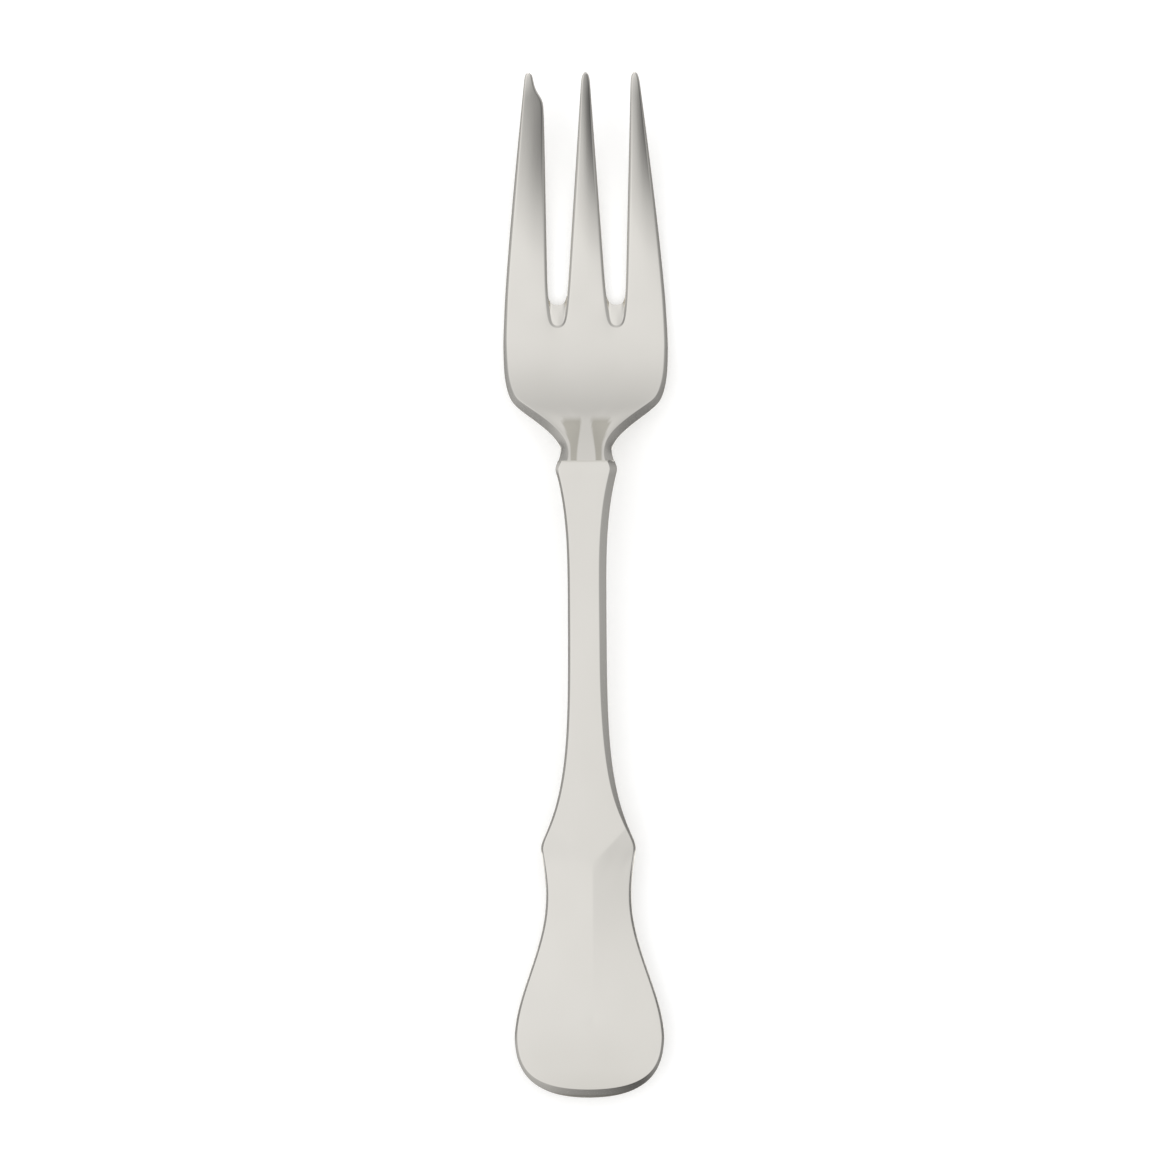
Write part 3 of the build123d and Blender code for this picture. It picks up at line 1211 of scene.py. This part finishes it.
# %% Cement
resin_colour = (0.16, 0.13, 0.11, 1)
grain_colour = (0.33, 0.28, 0.24, 1)
grain_scale = (2500, 2500, 2500)
grain_depth = 0.1 * mm
least_rough = 0.7
rough_range = 0.2
cement, tree, shader = new_material("cement")
place = tree.nodes.new("ShaderNodeTexCoord").outputs["Object"]
grains = noise_of(tree, place, grain_scale, detail=6)
tree.links.new(mix_colour(tree, grains, resin_colour, grain_colour), shader.inputs["Base Color"])
dull = math_node(tree, "ADD", math_node(tree, "MULTIPLY", grains, rough_range), least_rough)
tree.links.new(dull, shader.inputs["Roughness"])
bump = tree.nodes.new("ShaderNodeBump")
bump.inputs["Distance"].default_value = grain_depth
tree.links.new(grains, bump.inputs["Height"])
tree.links.new(bump.outputs["Normal"], shader.inputs["Normal"])
print("nodes of the cement:", len(tree.nodes))

# %% [markdown]
# Each new piece takes the place of its CAD node and rides on the fork's only body. The cement keeps its
# CAD mesh, because it is hidden inside the handle, and only gets its material.

# %% Join the pieces to the model
for piece, material, node, slot in (
    (head, head_silver, "fork_head", "polished_head"),
    (handle_front, handle_silver, "handle_front_shell", "polished_handle"),
    (handle_back, handle_silver, "handle_back_shell", "polished_handle"),
):
    piece.data.materials.clear()
    piece.data.materials.append(material)
    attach(piece, "root")
    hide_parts(node)
filler = frame["nodes"]["handle_filler"]
filler.data.materials.clear()
filler.data.materials.append(cement)
print("pieces on the body:", head.name, handle_front.name, handle_back.name, filler.name)

# %% [markdown]
# The fork lies on white paper in a light tent. The paper could be lit until it is white, but that would
# light the fork too much. Instead its material adds a little light of its own for the rays that look at
# it, from the camera or by way of a mirror. The rest of its light is the tent's, so a soft shadow stays.

# %% Floor
floor_size = 6
floor_level = -0.02 * mm
paper_colour = (0.8, 0.8, 0.8, 1)
paper_roughness = 0.9
paper_glow = (0.34, 0.34, 0.34, 1)
bpy.ops.object.select_all(action="DESELECT")
bpy.ops.mesh.primitive_plane_add(size=floor_size)
floor = bpy.context.object
floor.name = "floor"
floor.location.z = floor_level
white, tree, paper = new_material("white floor")
paper.inputs["Base Color"].default_value = paper_colour
paper.inputs["Roughness"].default_value = paper_roughness
paper.inputs["Emission Color"].default_value = paper_glow
look = tree.nodes.new("ShaderNodeLightPath").outputs
seen = math_node(tree, "MAXIMUM", look["Is Camera Ray"], look["Is Glossy Ray"])
seen = math_node(tree, "MAXIMUM", seen, look["Is Transmission Ray"])
tree.links.new(seen, paper.inputs["Emission Strength"])
floor.data.materials.append(white)
print("floor size in m:", tuple(round(v, 2) for v in floor.dimensions))

# %% [markdown]
# Polished metal looks like what is round it, so the tent matters more than any lamp. It could be built
# from white cloths and cards. A pattern on the sky does the same and is easier to tune. It is brightest
# overhead, falls off towards the horizon, and is brighter on the left than on the right.

# %% Cloth of the light tent
world = bpy.data.worlds.new("light tent")
bpy.context.scene.world = world
world.use_nodes = True
tree = world.node_tree
split = tree.nodes.new("ShaderNodeSeparateXYZ")
tree.links.new(tree.nodes.new("ShaderNodeTexCoord").outputs["Generated"], split.inputs[0])
height_stops = [(0, 0.18), (0.12, 0.36), (0.3, 0.62), (0.5, 0.72), (0.66, 0.86), (0.8, 0.97), (1, 1)]
side_stops = [(0, 1.0), (0.25, 0.8), (0.5, 0.72), (0.6, 0.64), (0.75, 0.6), (1, 0.58)]
upwards = ramp_of(tree, split.outputs["Z"], height_stops)
backwards = math_node(tree, "MAXIMUM", split.outputs["Y"], 0)
level_x = math_node(tree, "MULTIPLY", split.outputs["X"], math_node(tree, "SUBTRACT", 1, backwards))
from_left = math_node(tree, "ADD", math_node(tree, "MULTIPLY", level_x, 0.5), 0.5)
sideways = ramp_of(tree, from_left, side_stops)
cloth = math_node(tree, "MULTIPLY", upwards, sideways)
print("nodes of the cloth:", len(tree.nodes))

# %% [markdown]
# The tent has an opening low in front, and it looks dark in the metal. That dark place is what shades
# the raised tips of the tines. It is a soft spot: the distance from its middle runs through a ramp.

# %% Opening of the light tent
opening_middle = (0.35, -0.8, 0.42)
opening_size = (0.55, 0.5, 0.35)
opening_reach = 1.42
shade_stops = [(0, 0.1), (0.3, 0.22), (0.5, 0.5), (0.66, 0.72), (0.86, 0.94), (0.95, 1)]
tent_brightness = 1.09
away = [math_node(tree, "SUBTRACT", split.outputs[axis], opening_middle[axis]) for axis in range(3)]
away[2] = math_node(tree, "MINIMUM", away[2], 0)
opening = tree.nodes.new("ShaderNodeCombineXYZ")
for axis in range(3):
    tree.links.new(math_node(tree, "DIVIDE", away[axis], opening_size[axis]), opening.inputs[axis])
distance = tree.nodes.new("ShaderNodeVectorMath")
distance.operation = "LENGTH"
tree.links.new(opening.outputs[0], distance.inputs[0])
reach = math_node(tree, "DIVIDE", distance.outputs["Value"], opening_reach)
tent = math_node(tree, "MULTIPLY", cloth, ramp_of(tree, reach, shade_stops))
tent = math_node(tree, "MULTIPLY", tent, tent_brightness)
tree.links.new(tent, tree.nodes["Background"].inputs["Color"])
print("nodes of the tent:", len(tree.nodes))

# %% [markdown]
# One large lamp over the tent lights the paper evenly and gives the fork its very soft shadow. The metal
# doesn't mirror it, because it already mirrors the bright top of the tent.

# %% Soft lamp
lamp_place = (-0.06, 0.04, 1.2)
lamp_size = 2
lamp_energy = 11
bpy.ops.object.light_add(type="AREA", location=lamp_place)
lamp = bpy.context.object
lamp.name = "soft lamp"
lamp.data.size = lamp_size
lamp.data.energy = lamp_energy
lamp.visible_glossy = False
lamp.visible_camera = False
print("lamp energy in W:", lamp.data.energy)
